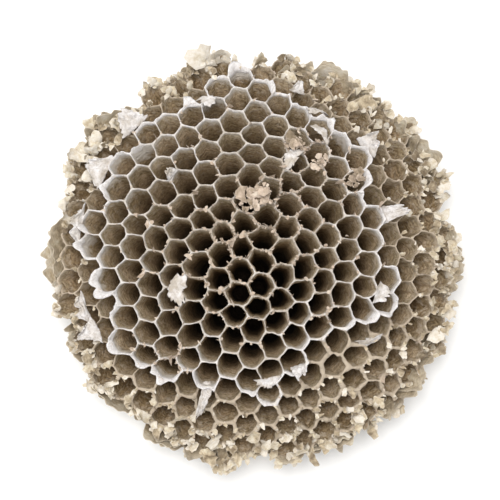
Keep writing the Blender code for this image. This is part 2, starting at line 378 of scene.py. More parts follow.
def comb_mesh(lattice, rims, wall):
    """The whole comb. Each cell is a set of rings: the shared rim, its inner edge and lip, a throat
    that an uneven collar narrows, then rings that run straight from the throat to the floor and turn
    from six-sided to round, and a rounded floor. Outside, rings run from the open rim to the back."""
    mouth, floor, axis = cell_frames(lattice, rims)
    outer = rims[lattice.rim]
    away = outer - mouth[:, None]
    reach = np.linalg.norm(away, axis=-1, keepdims=True)
    inward = -away / reach
    angle = np.arctan2(away[..., 1], away[..., 0])
    floor_radius = FAN * FLOOR_TAPER * CELL_PITCH / 2
    circle = np.stack([np.cos(angle), np.sin(angle)], axis=-1) * floor_radius
    bottom = floor[:, None] + flat3(circle)
    rings, depths = [], []

    def add_ring(points, depth):
        """Keep one ring of every cell and how deep it lies."""
        rings.append(points)
        depths.append(np.broadcast_to(depth, points.shape[:-1]))

    down = -axis[:, None]
    deep = np.linalg.norm(mouth - floor, axis=-1)[:, None]
    fillet = corner_fillet(lattice)[None, :, None]
    rough = lattice_noise(outer, 1.3 * MM, 41)[..., None] * 0.15 * MM + fillet
    lip = torn_margin(outer)[..., None] * (0.5 + 0.6 * lattice_noise(outer, 2.0 * MM, 42)[..., None])
    rough = rough + np.maximum(lip, 0) * 0.9 * MM
    lumps = 0.6 + 0.5 * lattice_noise(outer, 2.6 * MM, 44)[..., None]
    collar = (0.35 + 0.75 * worn(outer)[..., None]) * lumps * MM
    add_ring(outer + inward * (0.42 * wall + rough) + down * EDGE_DEPTH * MM, EDGE_DEPTH)
    add_ring(outer + inward * (0.50 * wall + rough) + down * LIP_DEPTH * MM, LIP_DEPTH)
    throat = outer + inward * (0.50 * wall + fillet + 0.6 * collar) + down * THROAT_DEPTH * MM
    add_ring(throat, THROAT_DEPTH)
    for share in WALL_SHARES:
        ring = throat + (bottom - throat) * share
        swell = lattice_noise(ring, 4 * MM, 43)[..., None] * 0.45 * MM * (1 - share)
        pinch = math.sin(math.pi * min(share * 1.4, 1.0)) * 0.25 * MM
        level = THROAT_DEPTH + share * (deep / MM - THROAT_DEPTH)
        add_ring(ring + inward * (swell + pinch), level)
    sunk = floor[:, None] + (bottom - floor[:, None]) * 0.6
    add_ring(sunk - np.array([0, 0, 0.9 * MM]), deep / MM + 0.5)
    centre = floor - np.array([0, 0, 1.2 * MM])

    count = len(rims)
    grid = np.stack(rings, axis=1)
    number = count + np.arange(grid[..., 0].size).reshape(grid.shape[:3])
    rows = np.concatenate([lattice.rim[:, None], number], axis=1)
    hub = count + number.size + np.arange(lattice.cells)
    last = rows[:, -1]
    fans = np.stack([last, np.roll(last, -1, axis=-1), np.broadcast_to(hub[:, None], last.shape)], -1)

    tone = cell_tones(mouth)
    ring_tone = np.broadcast_to(tone[:, None, None], number.shape)
    depth = np.stack(depths, axis=1)
    skirt_points, skirt_faces, skirt_depth = skirt_rings(lattice, rims, inward, wall, hub[-1] + 1)
    points = np.concatenate([rims, grid.reshape(-1, 3), centre, skirt_points])
    film = silk_depth(lattice, outer, away, np.arange(lattice.cells))
    film = np.broadcast_to(film[:, None], number.shape)
    attributes = {
        "depth": np.concatenate([np.zeros(count), depth.ravel(), deep[:, 0] / MM, skirt_depth]),
        "tone": np.concatenate([
            np.full(count, 0.5), ring_tone.ravel(), tone, np.full(len(skirt_points), 0.5)
        ]),
        "film": np.concatenate([
            lattice.rim_silky * silk_whiteness(rims), film.ravel(), 0 * tone,
            np.zeros(len(skirt_points)),
        ]),
    }
    return points, [ring_faces(rows), fans.reshape(-1, 3), *skirt_faces], attributes


def skirt_rings(lattice, rims, inward, wall, first):
    """The comb's outside. From each open rim sample a line runs out over the wall's edge and down to
    the round back: its plan goes from the scalloped rim to the circle by a smooth step, and its
    height falls straight, with bumps by noise. The back is a disc of rings at height 0."""
    open_sample = np.repeat(lattice.open_side, lattice.per_side, axis=1)
    starts = lattice.rim[open_sample]
    ends = np.roll(lattice.rim, -1, axis=1)[open_sample]
    loop, place = np.unique(np.concatenate([starts, ends]), return_inverse=True)
    out = np.zeros((len(rims), 3))
    np.add.at(out, lattice.rim.ravel(), -inward.reshape(-1, 3))
    out = unit(out[loop] * np.array([1, 1, 0]))
    top = rims[loop]
    back = flat3(unit(top[:, :2]) * BACK_RADIUS)
    lip = top + out * 0.5 * wall - np.array([0, 0, LIP_DEPTH * MM])
    lines = [top + out * 0.42 * wall - np.array([0, 0, EDGE_DEPTH * MM]), lip]
    for share in SIDE_SHARES:
        ring = lip + (back - lip) * share
        slide = smooth_step(share) - share
        ring[:, :2] += (back - lip)[:, :2] * slide
        bump = lattice_noise(ring, 4 * MM, 51) * 0.5 * MM * math.sin(math.pi * share)
        lines.append(ring + out * bump[:, None])
    lines.append(back)
    lines += [back * share for share in BACK_SHARES]
    number = first + np.arange(len(lines) * len(loop)).reshape(len(lines), len(loop))
    rows = np.concatenate([loop[None], number])
    a, b = place[: len(starts)], place[len(starts):]
    quads = np.stack([rows[:-1, b], rows[:-1, a], rows[1:, a], rows[1:, b]], axis=-1)
    hub = first + number.size
    fans = np.stack([rows[-1, b], rows[-1, a], np.full(len(a), hub)], axis=-1)
    points = np.concatenate([np.concatenate(lines), np.zeros((1, 3))])
    fall = [EDGE_DEPTH, LIP_DEPTH] + [SIDE_DEPTH] * (len(lines) - 2)
    depth = np.append(np.repeat(fall, len(loop)), SIDE_DEPTH)
    return points, [quads.reshape(-1, 4), fans], depth


def silk_depth(lattice, outer, away, chosen):
    """How far silk reaches down the inner wall, in millimetres, by cell and rim sample: a little all
    round, more on the wall that faces the middle of the comb and most in the cells along the silk's
    edge, times a slow noise; nothing in a cell without silk."""
    azimuth = np.arctan2(outer[..., 1], outer[..., 0])
    facing = unit(away[..., :2])
    outwards = facing[..., 0] * np.cos(azimuth) + facing[..., 1] * np.sin(azimuth)
    outwards = smooth_step(outwards * 0.7 + 0.3)
    edge = lattice.border_side[chosen].any(axis=1).astype(float)[:, None]
    amount = np.random.default_rng(FILM_SEED).beta(1.3, 2.0, lattice.cells)[chosen][:, None]
    radius = np.hypot(outer[..., 0], outer[..., 1])
    rim_side = smooth_step((radius / silk_radius(azimuth) - 0.35) / 0.5)
    slow = 0.5 + 0.5 * lattice_noise(outer, 5 * MM, 61)
    depth = 0.4 + outwards * (rim_side * 2.6 * amount + edge * (0.7 + 1.4 * amount)) * (0.5 + slow)
    return depth * lattice.silky[chosen][:, None]


def silk_whiteness(places):
    """How white the silk is: little in the middle, where it is worn to the paper, and full towards
    the silk's edge, by the square of the share of the radius, plus noise."""
    azimuth = np.arctan2(places[..., 1], places[..., 0])
    share = np.hypot(places[..., 0], places[..., 1]) / silk_radius(azimuth)
    return np.clip(0.05 + 0.85 * share**2 + 0.4 * lattice_noise(places, 9 * MM, 71), 0, 1)


def lining_mesh(lattice, rims, wall):
    """The silk on the rims of the silk-rimmed cells: round each cell a closed ribbon whose section
    climbs the inner wall, crosses the rim and, where the next cell has no silk, hangs down outside.
    Its depth inside, its height above the rim and its thickness vary by noise round the cell."""
    chosen = np.flatnonzero(lattice.silky)
    mouth, _, axis = cell_frames(lattice, rims)
    outer = rims[lattice.rim[chosen]]
    away = outer - mouth[chosen][:, None]
    inward = unit(-away)
    up = axis[chosen][:, None]
    border = np.repeat(lattice.border_side[chosen], lattice.per_side, axis=1).astype(float)
    border = np.maximum(border, np.roll(border, 1, axis=1))
    spread = border
    for _ in range(3):
        spread = (np.roll(spread, 1, axis=1) + spread + np.roll(spread, -1, axis=1)) / 3
    slow = 0.5 + 0.5 * lattice_noise(outer, 8 * MM, 61)
    quick = 0.5 + 0.5 * lattice_noise(outer, 2.4 * MM, 62)
    fine = lattice_noise(outer, 1.3 * MM, 63)
    fillet = corner_fillet(lattice)[None]
    film = silk_depth(lattice, outer, away, chosen)
    depth = (0.7 + 0.55 * film + 0.2 * fine) * MM
    frill = smooth_step(2.0 * quick * (0.3 + slow) - 0.45)
    height = 0.06 + 0.22 * quick * slow + spread * (0.05 + 2.4 * frill)
    height = (height + (0.10 + 0.45 * spread) * fine) * MM
    thick = (0.02 + 0.16 * slow * quick + spread * (0.04 + 0.6 * quick * slow)) * MM
    hang = (0.5 + border * (0.8 + 3.0 * slow)) * MM
    lean = spread * (1.3 * slow - 0.3) * height
    section = (
        (-0.05 * wall, -depth),
        (0.5 * wall + 0.03 * MM + 0.9 * fillet, -depth * 0.96),
        (0.5 * wall + 0.8 * thick + fillet, -depth * 0.6),
        (0.40 * wall + 0.8 * thick + fillet, -0.5 * MM + 0 * depth),
        (0.14 * wall + 0.3 * thick + 0.3 * fillet - 0.5 * lean, 0.7 * height),
        (-lean, height),
        (-border * (0.3 * wall + thick) - 0.04 * MM - 0.6 * lean, 0.6 * height - 0.02 * MM),
        (-border * (0.45 * wall + thick) - 0.02 * MM, -0.5 * hang),
        (-border * (0.45 * wall + 0.05 * MM), -hang),
        (0.04 * MM - border * 0.2 * wall, -hang),
        (0.15 * wall + 0 * depth, -0.6 * MM + 0 * depth),
    )
    rings = []
    for offset, climb in section:
        rings.append(outer + inward * (offset + 0 * depth)[..., None] + up * climb[..., None])
    grid = np.stack(rings, axis=1)
    number = np.arange(grid[..., 0].size).reshape(grid.shape[:3])
    closed = np.concatenate([number, number[:, :1]], axis=1)
    white = np.clip(0.75 * silk_whiteness(outer) + 0.12 * film + 0.35 * spread, 0, 1)
    down = np.array([1.0, 0.9, 0.4, 0.1, 0, 0, 0, 0.3, 0.7, 0.9, 0.5])
    white = white[:, None] * (1 - 0.5 * down[None, :, None] * (1 - spread[:, None]))
    return grid.reshape(-1, 3), [ring_faces(closed)], {"silk": white.ravel()}


def disc_grid(spokes, rings):
    """Polar places on a two-sided disc: radius from 0 up to 1 and back to 0, azimuth round, and the
    side, 1 in front, 0 at the rim and -1 behind. The two poles come last."""
    share = np.concatenate([np.arange(1, rings) / rings, [1.0], np.arange(rings - 1, 0, -1) / rings])
    side = np.concatenate([np.ones(rings - 1), [0.0], -np.ones(rings - 1)])
    turn = np.arange(spokes) * 2 * math.pi / spokes
    radius = np.append(np.repeat(share, spokes), [0.0, 0.0])
    azimuth = np.append(np.tile(turn, len(share)), [0.0, 0.0])
    sides = np.append(np.repeat(side, spokes), [1.0, -1.0])
    number = np.arange(len(share) * spokes).reshape(len(share), spokes)
    front, back = number.size, number.size + 1
    first, last = number[0], number[-1]
    fan_front = np.stack([first, np.full(spokes, front), np.roll(first, -1)], axis=-1)
    fan_back = np.stack([np.roll(last, -1), np.full(spokes, back), last], axis=-1)
    return radius, azimuth, sides, ring_faces(number), np.concatenate([fan_front, fan_back])


def torn_sheets(places, across, along, length, width, curl, thickness, rng, grid=(16, 4)):
    """Many torn sheets at once. Each is a many-cornered disc: its radius is the least of six straight
    edges' distances over the cosine of the azimuth between them, with a little noise, stretched to
    its length and width. It is rolled round an axis by an angle that grows straight along it (across
    = sine over curl, lift = 1 less cosine over curl), folded by a zigzag of the place across a random
    direction and crumpled by noise. across and along are its directions, and it thins to its edge."""
    count = len(places)
    radius, azimuth, side, quads, fans = disc_grid(*grid)
    facing = (np.arange(6) + rng.uniform(-0.45, 0.45, (count, 6))) * math.pi / 3
    distance = rng.uniform(0.34, 1.0, (count, 6))
    slant = np.cos(azimuth[None, None] - facing[..., None])
    limit = np.min(np.where(slant > 0.05, distance[..., None] / np.maximum(slant, 0.05), 9), axis=1)
    key = flat3(np.stack([np.cos(azimuth), np.sin(azimuth)], -1)) + 9.0 * np.arange(count)[:, None, None]
    seed = int(rng.integers(1000))
    limit = np.minimum(limit, 1.5) * (1 + 0.26 * lattice_noise(key, 0.3, seed))
    a = radius * limit * np.cos(azimuth) * length[:, None] / 2
    b = radius * limit * np.sin(azimuth) * width[:, None] / 2
    bend = curl[:, None]
    level = np.sin(a * bend) / bend
    lift = (1 - np.cos(a * bend)) / bend + 0.25 * bend * b * b
    crumple = np.stack([a, b, np.zeros_like(a) + 9 * MM * np.arange(count)[:, None]], axis=-1)
    size = np.sqrt(length * width)[:, None]
    lean = rng.uniform(0, math.pi, count)[:, None]
    fold = (a * np.cos(lean) + b * np.sin(lean)) / size * 1.7 + rng.uniform(0, 2, count)[:, None]
    lift = lift + 0.16 * size * np.abs(fold % 2 - 1)
    lift = lift + 0.07 * size * lattice_noise(crumple, 1.6 * MM, seed + 2)
    lift = lift + side * thickness * (1.25 - radius) / 2
    normal = unit(np.cross(across, along))
    points = (
        places[:, None] + level[..., None] * across[:, None] + b[..., None] * along[:, None]
        + lift[..., None] * normal[:, None]
    )
    shift = (np.arange(count) * len(radius))[:, None, None]
    faces = [(quads + shift).reshape(-1, 4), (fans + shift).reshape(-1, 3)]
    edge = np.broadcast_to(radius, (count, len(radius)))
    return points.reshape(-1, 3), faces, edge.ravel()


def grid_normals(grid):
    """Normals of a grid surface: the product of its slopes along its two directions."""
    return unit(np.cross(np.gradient(grid, axis=0), np.gradient(grid, axis=1)))


def closed_sheet(front, thickness):
    """A grid surface and its copy set back along the normals, joined round their edges."""
    rows, columns = front.shape[:2]
    back = front - grid_normals(front) * thickness
    number = np.arange(rows * columns).reshape(rows, columns)
    loop = np.concatenate([number[0], number[1:-1, -1], number[-1, ::-1], number[-2:0:-1, 0]])
    grid = np.stack([number[:-1, :-1], number[:-1, 1:], number[1:, 1:], number[1:, :-1]], -1)
    grid = grid.reshape(-1, 4)
    behind = grid[:, ::-1] + number.size
    faces = [grid, behind, ring_faces(np.stack([loop, loop + number.size]))]
    return np.concatenate([front.reshape(-1, 3), back.reshape(-1, 3)]), faces


def joined(shapes):
    """Several shapes, each of points, faces and attributes, as one."""
    points, faces, attributes, first = [], [], [], 0
    for shape_points, shape_faces, shape_attributes in shapes:
        points.append(shape_points)
        faces += [block + first for block in shape_faces]
        attributes.append(shape_attributes)
        first += len(shape_points)
    keys = attributes[0].keys()
    merged = {key: np.concatenate([one[key] for one in attributes]) for key in keys}
    return np.concatenate(points), faces, merged


def around_and_up(azimuth):
    """Directions at an azimuth: outwards from the middle, and round it."""
    outward = np.stack([np.cos(azimuth), np.sin(azimuth), 0 * azimuth], axis=-1)
    around = np.stack([-np.sin(azimuth), np.cos(azimuth), 0 * azimuth], axis=-1)
    return outward, around


def rim_scraps(rims, start, end, count, size, nearest, rng):
    """Torn scraps that stand on the margin's rims between two azimuths, from a least radius on: each
    starts on a rim sample, leans out by a random angle and faces a random way near outwards."""
    azimuth = np.arctan2(rims[:, 1], rims[:, 0])
    radius = np.hypot(rims[:, 0], rims[:, 1])
    turn = (np.degrees(azimuth) - start) % 360
    free = (turn < end - start) & (radius > silk_radius(azimuth) + 4 * MM)
    chance = free * np.clip((radius - nearest) / (COMB_RADIUS - nearest), 0.0, 1) ** 1.3 + 1e-12 * free
    picked = rng.choice(len(rims), count, p=chance / chance.sum())
    place = rims[picked]
    outward, around = around_and_up(azimuth[picked] + rng.normal(0, 0.9, count))
    lean = rng.uniform(0.25, 1.5, count)[:, None]
    upwards = outward * np.sin(lean) + np.array([0, 0, 1]) * np.cos(lean)
    length = rng.lognormal(0, 0.32, count) * size
    width = length * rng.uniform(0.4, 1.0, count)
    curl = rng.uniform(40, 300, count) * np.where(rng.random(count) < 0.7, -1, 1)
    place = place + upwards * (length * rng.uniform(0.1, 0.4, count))[:, None]
    room = np.clip((CAD_BOX[1][2] - place[:, 2]) / length, 0.2, 1)
    points, faces, edge = torn_sheets(
        place, upwards, around, length * room, width, curl, 0.25 * MM, rng)
    tone = np.repeat(np.clip(rng.beta(2.0, 1.5, count), 0, 1), len(edge) // count)
    return points, faces, {"tone": tone, "edge": edge}


def torn_band(start, end, foot, top, rng, columns=72, rows=9):
    """One layer of envelope paper round the flared side: its radius and height run straight from
    the foot to the top, plus a bulge by the sine of the climb and waves by noise. Its top edge is
    ragged, because the climb is stretched by a noise of the azimuth and fades at both ends."""
    turn = np.radians(np.linspace(start, end, columns))[None]
    share = np.linspace(0, 1, rows)[:, None]
    ends = np.sin(np.linspace(0.02, math.pi - 0.02, columns))[None] ** 0.35
    key = flat3(np.stack([np.cos(turn), np.sin(turn)], axis=-1) * 80 * MM)
    seed = int(rng.integers(1000))
    tear = 0.62 + 0.30 * lattice_noise(key, 9 * MM, seed) + 0.16 * lattice_noise(key, 2.3 * MM, seed + 1)
    climb = share * np.clip(tear, 0.15, 1.15) * ends
    radius = foot[0] + (top[0] - foot[0]) * climb
    height = foot[1] + (top[1] - foot[1]) * climb
    place = np.stack([radius * np.cos(turn), radius * np.sin(turn), height], axis=-1)
    waves = lattice_noise(place, 11 * MM, seed + 2) + 0.6 * lattice_noise(place, 3.5 * MM, seed + 3)
    radius = radius + (0.9 + waves * share + 1.1 * np.sin(math.pi * share)) * (0.4 + climb) * MM
    front = np.stack([radius * np.cos(turn), radius * np.sin(turn), height], axis=-1)
    points, faces = closed_sheet(front, 0.28 * MM)
    tone = 0.45 + 0.35 * lattice_noise(points, 14 * MM, seed + 4)
    return points, faces, {"tone": tone, "edge": np.tile(share + 0 * turn, (2, 1, 1)).ravel()}


class SolidPlace:
    """Where a flat solid of the frame lies: its middle, the directions along, up and out of it, and
    its sizes along them, from the spread of its corners."""

    def __init__(self, node):
        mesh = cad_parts[node].data
        corners = np.empty(len(mesh.vertices) * 3, np.float32)
        mesh.vertices.foreach_get("co", corners)
        corners = np.unique(corners.reshape(-1, 3).astype(float).round(6), axis=0)
        self.middle = corners.mean(axis=0)
        spread = corners - self.middle
        first, second, third = np.linalg.svd(spread)[2]
        if abs(first[2]) > abs(second[2]):
            first, second = second, first
        self.up = second * (1 if second[2] > 0 else -1)
        self.out = third * (1 if third @ np.append(self.middle[:2], 0.02) > 0 else -1)
        self.along = np.cross(self.up, self.out)
        rise = spread @ self.up
        side = spread @ self.along
        self.height = np.ptp(rise)
        self.width = np.ptp(side)
        self.foot = np.ptp(side[rise < 0])
        self.tip = np.ptp(side[rise > 0])
        self.deep = np.ptp(spread @ self.out)


def silk_flap(solid, thickness, rng, columns=34, rows=20):
    """A standing flap of silk. Across, its width goes straight from the foot's to the tip's; up, it
    bends outwards by an angle that grows straight (rise = sine over the bend, reach = 1 less cosine
    over it). Folds fan out upwards as a sine of the place across, and its edges are torn by noise."""
    across = np.linspace(-0.5, 0.5, columns)[None]
    up = np.linspace(-0.25, 1, rows)[:, None]
    seed = int(rng.integers(1000))
    key = np.stack([across * 4 + 0 * up, up * 3 + 0 * across, 0 * up * across + seed], axis=-1)
    torn = 0.80 + 0.22 * lattice_noise(key * [1, 0, 1], 0.9, seed) + 0.12 * lattice_noise(
        key * [1, 0, 1], 0.25, seed + 1)
    rise = up * torn * (1 - (2 * np.abs(across)) ** 4 * 0.25)
    width = (solid.foot + (solid.tip - solid.foot) * up) * (1.06 + 0.12 * lattice_noise(
        key * [0, 1, 1], 0.4, seed + 2))
    bend = rng.uniform(0.5, 1.3)
    height = solid.height * 1.12
    level = height * np.sin(bend * rise) / bend
    reach = height * (1 - np.cos(bend * rise)) / bend
    folds = np.sin(across * rng.uniform(10, 18) + rng.uniform(0, 6)) * 0.09 * solid.foot * rise
    crumple = 0.9 * lattice_noise(key, 0.6, seed + 3) + 0.35 * lattice_noise(key, 0.22, seed + 4)
    reach = reach + folds + crumple * np.maximum(0.25 + rise, 0) * MM
    foot = solid.middle - solid.up * solid.height / 2
    front = foot + (
        (across * width)[..., None] * solid.along + level[..., None] * solid.up
        + reach[..., None] * solid.out
    )
    points, faces = closed_sheet(front, thickness)
    thin = 0.62 + 0.25 * lattice_noise(points, 2.5 * MM, seed + 5)
    return points, faces, {"silk": thin}


def silk_cap(solid, thickness, rng):
    """A torn silk film over the outer part of a cell's mouth: from a pole beyond the mouth's middle,
    each ray ends on the mouth's uneven circle or on a ragged chord, whichever is nearer. It domes
    by 1 less the square of the distance from the mouth's middle, and crumples by noise."""
    radius, azimuth, side, quads, fans = disc_grid(56, 10)
    seed = int(rng.integers(1000))
    outwards = math.atan2(solid.middle[1], solid.middle[0]) + rng.normal(0, 0.6)
    along = unit(np.cross(solid.out, [math.cos(outwards), math.sin(outwards), 0]))
    across = np.cross(along, solid.out)
    ray = np.stack([np.cos(azimuth), np.sin(azimuth)], -1)
    pole = 0.42
    circle = -pole * ray[:, 0] + np.sqrt(1 - (pole * ray[:, 1]) ** 2)
    chord = (pole + rng.uniform(-0.30, 0.02)) / np.maximum(-ray[:, 0], 1e-6)
    chord = chord * (1 + 0.6 * lattice_noise(flat3(ray), 0.4, seed) + 0.35 * lattice_noise(
        flat3(ray), 0.13, seed + 1))
    circle = circle * (1 + 0.2 * lattice_noise(flat3(ray), 0.16, seed + 5))
    reach = radius * np.minimum(np.maximum(chord, 0.1), circle)
    size = max(solid.width, solid.height) / 2 * 1.24
    flat = (np.array([pole, 0]) + ray * reach[:, None]) * size
    place = solid.middle + flat[:, :1] * across + flat[:, 1:] * along
    bump = 0.8 * lattice_noise(place, 2.4 * MM, seed + 2) + 0.35 * lattice_noise(place, 1.0 * MM, seed)
    from_middle = (flat**2).sum(axis=1) / size**2
    lift = (1.5 * (1 - from_middle) + bump - 0.5) * MM - solid.deep / 2
    lift = lift + side * thickness * (1.2 - radius) / 2
    points = place + solid.out * lift[:, None]
    thin = 0.42 + 0.4 * lattice_noise(points, 1.8 * MM, seed + 3)
    return points, [quads, fans], {"silk": thin}


def scrap_clump(solid, count, rng):
    """Torn sheets that lie over each other across the rims, in the solid's own length, width and
    height: the first few about as wide as the solid, the rest smaller."""
    small = np.arange(count) >= LARGE_SHEETS
    spot = rng.uniform(-0.85, 0.85, (count, 3)) * [solid.width, solid.height, solid.deep]
    basis = np.stack([solid.along, solid.up, solid.out])
    places = solid.middle - solid.out * solid.deep * 0.4 + (spot * 0.8) @ basis
    turn = rng.uniform(0, 2 * math.pi, count)[:, None]
    tilt = rng.normal(0, 0.35, (count, 3)) @ basis
    across = unit(np.cos(turn) * basis[0] + np.sin(turn) * basis[1] + tilt)
    along = unit(np.cross(solid.out, across))
    length = np.where(small, rng.uniform(0.2, 0.45, count), rng.uniform(0.8, 1.3, count))
    length = length * (solid.width + solid.height) / 2
    width = length * rng.uniform(0.5, 0.9, count)
    curl = rng.uniform(40, 160, count) * np.where(rng.random(count) < 0.5, -1, 1)
    points, faces, edge = torn_sheets(places, across, along, length, width, curl, 0.3 * MM, rng)
    tone = np.repeat(rng.uniform(0.1, 0.8, count), len(edge) // count)
    return points, faces, {"tone": tone, "edge": edge}


def rim_crumbs(rims, count, rng):
    """Small torn crumbs that stand on the rims, most of them where the comb is torn or worn."""
    radius = np.hypot(rims[:, 0], rims[:, 1])
    chance = 0.06 + (np.minimum(tearing(rims[:, :2]), 1.6) + 0.35 * worn(rims)) * (radius < 66 * MM)
    picked = rng.choice(len(rims), count, p=chance / chance.sum())
    across = unit(rng.normal(size=(count, 3)) + [0, 0, 1])
    along = unit(np.cross(across, unit(rng.normal(size=(count, 3)))))
    length = rng.lognormal(0, 0.45, count) * 1.9 * MM
    width = length * rng.uniform(0.3, 0.8, count)
    curl = rng.uniform(150, 400, count)
    places = rims[picked] + rng.normal(0, 0.2 * MM, (count, 3))
    points, faces, edge = torn_sheets(
        places, across, along, length, width, curl, 0.16 * MM, rng, (10, 3))
    tone = np.repeat(rng.uniform(0.4, 1.0, count), len(edge) // count)
    return points, faces, {"tone": tone, "edge": edge}


# --- materials -------------------------------------------------------------------------------


class NodeBuilder:
    """Adds and links the nodes of one material."""

    def __init__(self, name):
        self.material = bpy.data.materials.new(name)
        self.material.use_nodes = True
        self.tree = self.material.node_tree
        self.shader = self.tree.nodes["Principled BSDF"]

    def node(self, kind, inputs=None, **settings):
        """A node of a kind, its inputs linked to sockets or set to values."""
        made = self.tree.nodes.new(kind)
        for key, value in settings.items():
            setattr(made, key, value)
        for key, value in (inputs or {}).items():
            if isinstance(value, bpy.types.NodeSocket):
                self.tree.links.new(value, made.inputs[key])
            else:
                made.inputs[key].default_value = value
        return made

    def attribute(self, name):
        """The value of one of the piece's own attributes."""
        return self.node("ShaderNodeAttribute", attribute_name=name).outputs["Fac"]

    def place(self, scale):
        """The place on the object in metres, times a scale along each axis."""
        source = self.node("ShaderNodeTexCoord").outputs["Object"]
        return self.node("ShaderNodeMapping", {"Vector": source, "Scale": scale}).outputs[0]

    def noise(self, vector, scale, detail=4.0, rough=0.6, distortion=0.0):
        """Cloudy noise from 0 to 1, mostly near a half."""
        made = self.node("ShaderNodeTexNoise", {
            "Vector": vector, "Scale": scale, "Detail": detail, "Roughness": rough,
            "Distortion": distortion,
        })
        return made.outputs["Fac"]

    def ramp(self, fac, stops):
        """A colour read along straight runs between stops of a place and a colour."""
        made = self.node("ShaderNodeValToRGB", {"Fac": fac})
        while len(made.color_ramp.elements) < len(stops):
            made.color_ramp.elements.new(0.5)
        for element, (place, colour) in zip(made.color_ramp.elements, stops):
            element.position, element.color = place, (*colour, 1)
        return made.outputs["Color"]

    def span(self, value, low, high, to_low=0.0, to_high=1.0):
        """A value moved in a straight line from one span to another and kept inside it."""
        made = self.node("ShaderNodeMapRange", {
            "Value": value, "From Min": low, "From Max": high, "To Min": to_low, "To Max": to_high,
        })
        return made.outputs["Result"]

    def mix(self, fac, a, b, blend="MIX"):
        """Two colours mixed, multiplied or overlaid by a factor."""
        made = self.node("ShaderNodeMix", data_type="RGBA", blend_type=blend)
        for socket, value in ((0, fac), (6, a), (7, b)):
            if isinstance(value, bpy.types.NodeSocket):
                self.tree.links.new(value, made.inputs[socket])
            else:
                made.inputs[socket].default_value = value if socket == 0 else (*value, 1)
        return made.outputs[2]

    def math(self, operation, a, b):
        """One sum of two values."""
        return self.node("ShaderNodeMath", {0: a, 1: b}, operation=operation).outputs[0]

    def finish(self, colour, bump_height, bump_strength, roughness, distance=0.4 * MM):
        """Link the colour and a bump to the matt shader, and give back the material."""
        self.tree.links.new(colour, self.shader.inputs["Base Color"])
        bump = self.node("ShaderNodeBump", {
            "Height": bump_height, "Strength": bump_strength, "Distance": distance,
        })
        self.tree.links.new(bump.outputs[0], self.shader.inputs["Normal"])
        self.shader.inputs["Roughness"].default_value = roughness
        self.shader.inputs["Specular IOR Level"].default_value = 0.25
        return self.material


def comb_material(colours):
    """Wood-pulp paper: pale rims, tan to brown walls with fine bands of fibre laid round the cell,
    coarse grit and pale flecks, and dark floors. The walls darken with depth below the rim, from pale
    tan to near black: partly the real stain of the floors, partly painted shade of the deep cells. Each
    cell has its own tone, stained places run across the cells, and a film of silk reaches down from
    the rims that have it."""
    build = NodeBuilder("comb paper")
    depth, tone = build.attribute("depth"), build.attribute("tone")
    film = build.attribute("film")
    mottle = build.noise(build.place((1, 1, 1)), 420.0, 6.0, 0.72, 0.4)
    bands = build.noise(build.place((260, 260, 1500)), 1.0, 3.0, 0.6, 0.4)
    patch = build.noise(build.place((1, 1, 1)), 110.0, 3.0, 0.55)
    uneven = build.math("ADD", depth, build.span(mottle, 0.3, 0.7, -2.2, 2.2))
    # Painted shade: the colour darkens with depth in the cell, standing partly for the shade deep in the
    # cells and partly for the real stain of the floors.
    wall = build.ramp(build.span(uneven, 0.0, 34.0), (
        (0.03, colours.throat_colour), (0.22, colours.wall_colour), (0.52, colours.deep_stain_and_shade_colour),
        (0.95, colours.floor_colour),
    ))
    toned = build.mix(build.span(tone, 0.0, 1.6, 0.0, 1.0), wall, colours.shade_colour, "MULTIPLY")
    stained = build.mix(build.span(patch, 0.40, 0.60, 0.0, 0.95), toned, colours.stain_colour, "MULTIPLY")
    streaked = build.mix(0.8, stained, build.ramp(bands, (
        (0.34, (0.40, 0.38, 0.34)), (0.50, (0.86, 0.84, 0.80)), (0.64, (1.0, 1.0, 1.0)),
    )), "MULTIPLY")
    grit = build.noise(build.place((1, 1, 1)), 1000.0, 3.0, 0.6)
    gritty = build.mix(build.span(grit, 0.58, 0.42, 0.0, 0.8), streaked, colours.grit_colour, "MULTIPLY")
    pale = build.math("MULTIPLY", build.span(mottle, 0.50, 0.62, 0.0, 0.85), build.span(depth, 14.0, 5.0))
    flecked = build.mix(pale, gritty, colours.rim_colour)
    rim = build.mix(build.span(film, 0.0, 1.0), colours.rim_colour, colours.silk_rim_colour)
    frayed = build.math("ADD", depth, build.span(mottle, 0.35, 0.65, -0.5, 0.5))
    colour = build.mix(build.span(frayed, 0.2, 1.8, 1.0, 0.0), flecked, rim)
    reach = build.math("SUBTRACT", film, build.math("MULTIPLY", depth, 0.62))
    reach = build.math("ADD", reach, build.span(mottle, 0.3, 0.7, -1.0, 1.0))
    covered = build.math("MULTIPLY", build.span(reach, -0.4, 2.0), build.span(film, 0.2, 1.6))
    colour = build.mix(covered, colour, colours.film_colour)
    relief = build.math("ADD", build.math("ADD", bands, mottle), build.math("MULTIPLY", grit, 0.6))
    return build.finish(colour, relief, 0.9, 0.92, 0.7 * MM)


def silk_material(colours):
    """Spun silk felt: white where it is thick, cream where thin, with fine matted fibres."""
    build = NodeBuilder("spun silk")
    silk = build.attribute("silk")
    felt = build.noise(build.place((1, 1, 1)), 900.0, 5.0, 0.7, 0.8)
    cloud = build.noise(build.place((1, 1, 1)), 220.0, 3.0, 0.6)
    white = build.span(build.math("ADD", silk, build.span(cloud, 0.3, 0.7, -0.4, 0.4)), 0.15, 0.8)
    colour = build.mix(white, colours.thin_colour, colours.silk_colour)
    colour = build.mix(build.span(felt, 0.45, 0.65, 0.0, 0.7), colour, (0.66, 0.62, 0.58), "MULTIPLY")
    build.shader.inputs["Sheen Weight"].default_value = 0.15
    build.shader.inputs["Sheen Roughness"].default_value = 0.5
    return build.finish(colour, build.math("ADD", felt, cloud), 0.9, 0.75, 0.8 * MM)


